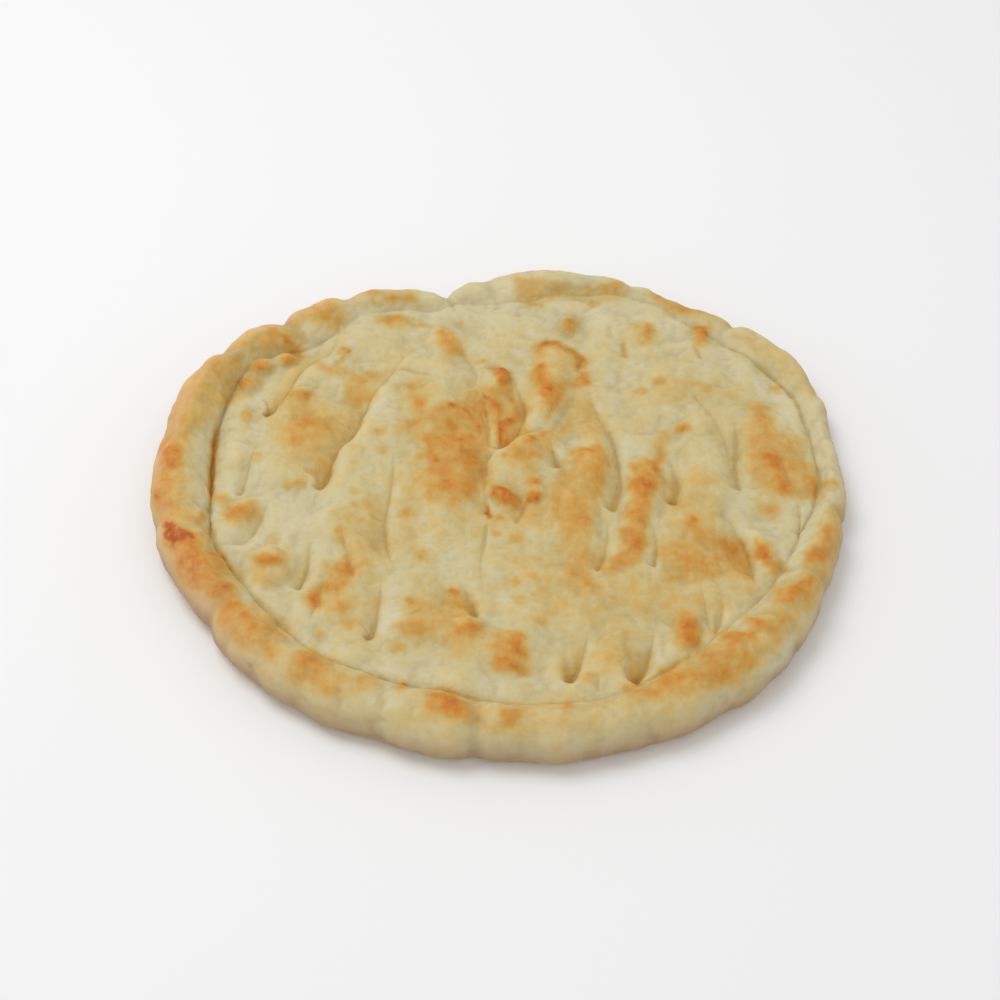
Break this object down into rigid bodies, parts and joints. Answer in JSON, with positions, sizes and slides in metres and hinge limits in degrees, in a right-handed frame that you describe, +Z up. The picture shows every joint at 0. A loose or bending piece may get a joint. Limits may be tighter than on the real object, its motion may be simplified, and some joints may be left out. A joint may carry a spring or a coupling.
{
  "type": "pizza crust",
  "caption": "Round, hand-stretched baked pizza crust with a thick rolled rim and a puffy, creased middle, lying on its flat underside.",
  "frame": {"origin": "on the flat underside, below the middle of the crust's box", "axes": "+Z up out of the top; +X to the right and +Y away from someone who looks at the crust as the picture does"},
  "size_m": [0.3038, 0.2986, 0.0264],
  "materials": {
    "baked_dough": "matt, dry baked bread dough"
  },
  "bodies": {
    "root": {"crust": "baked_dough"}
  },
  "joints": []
}
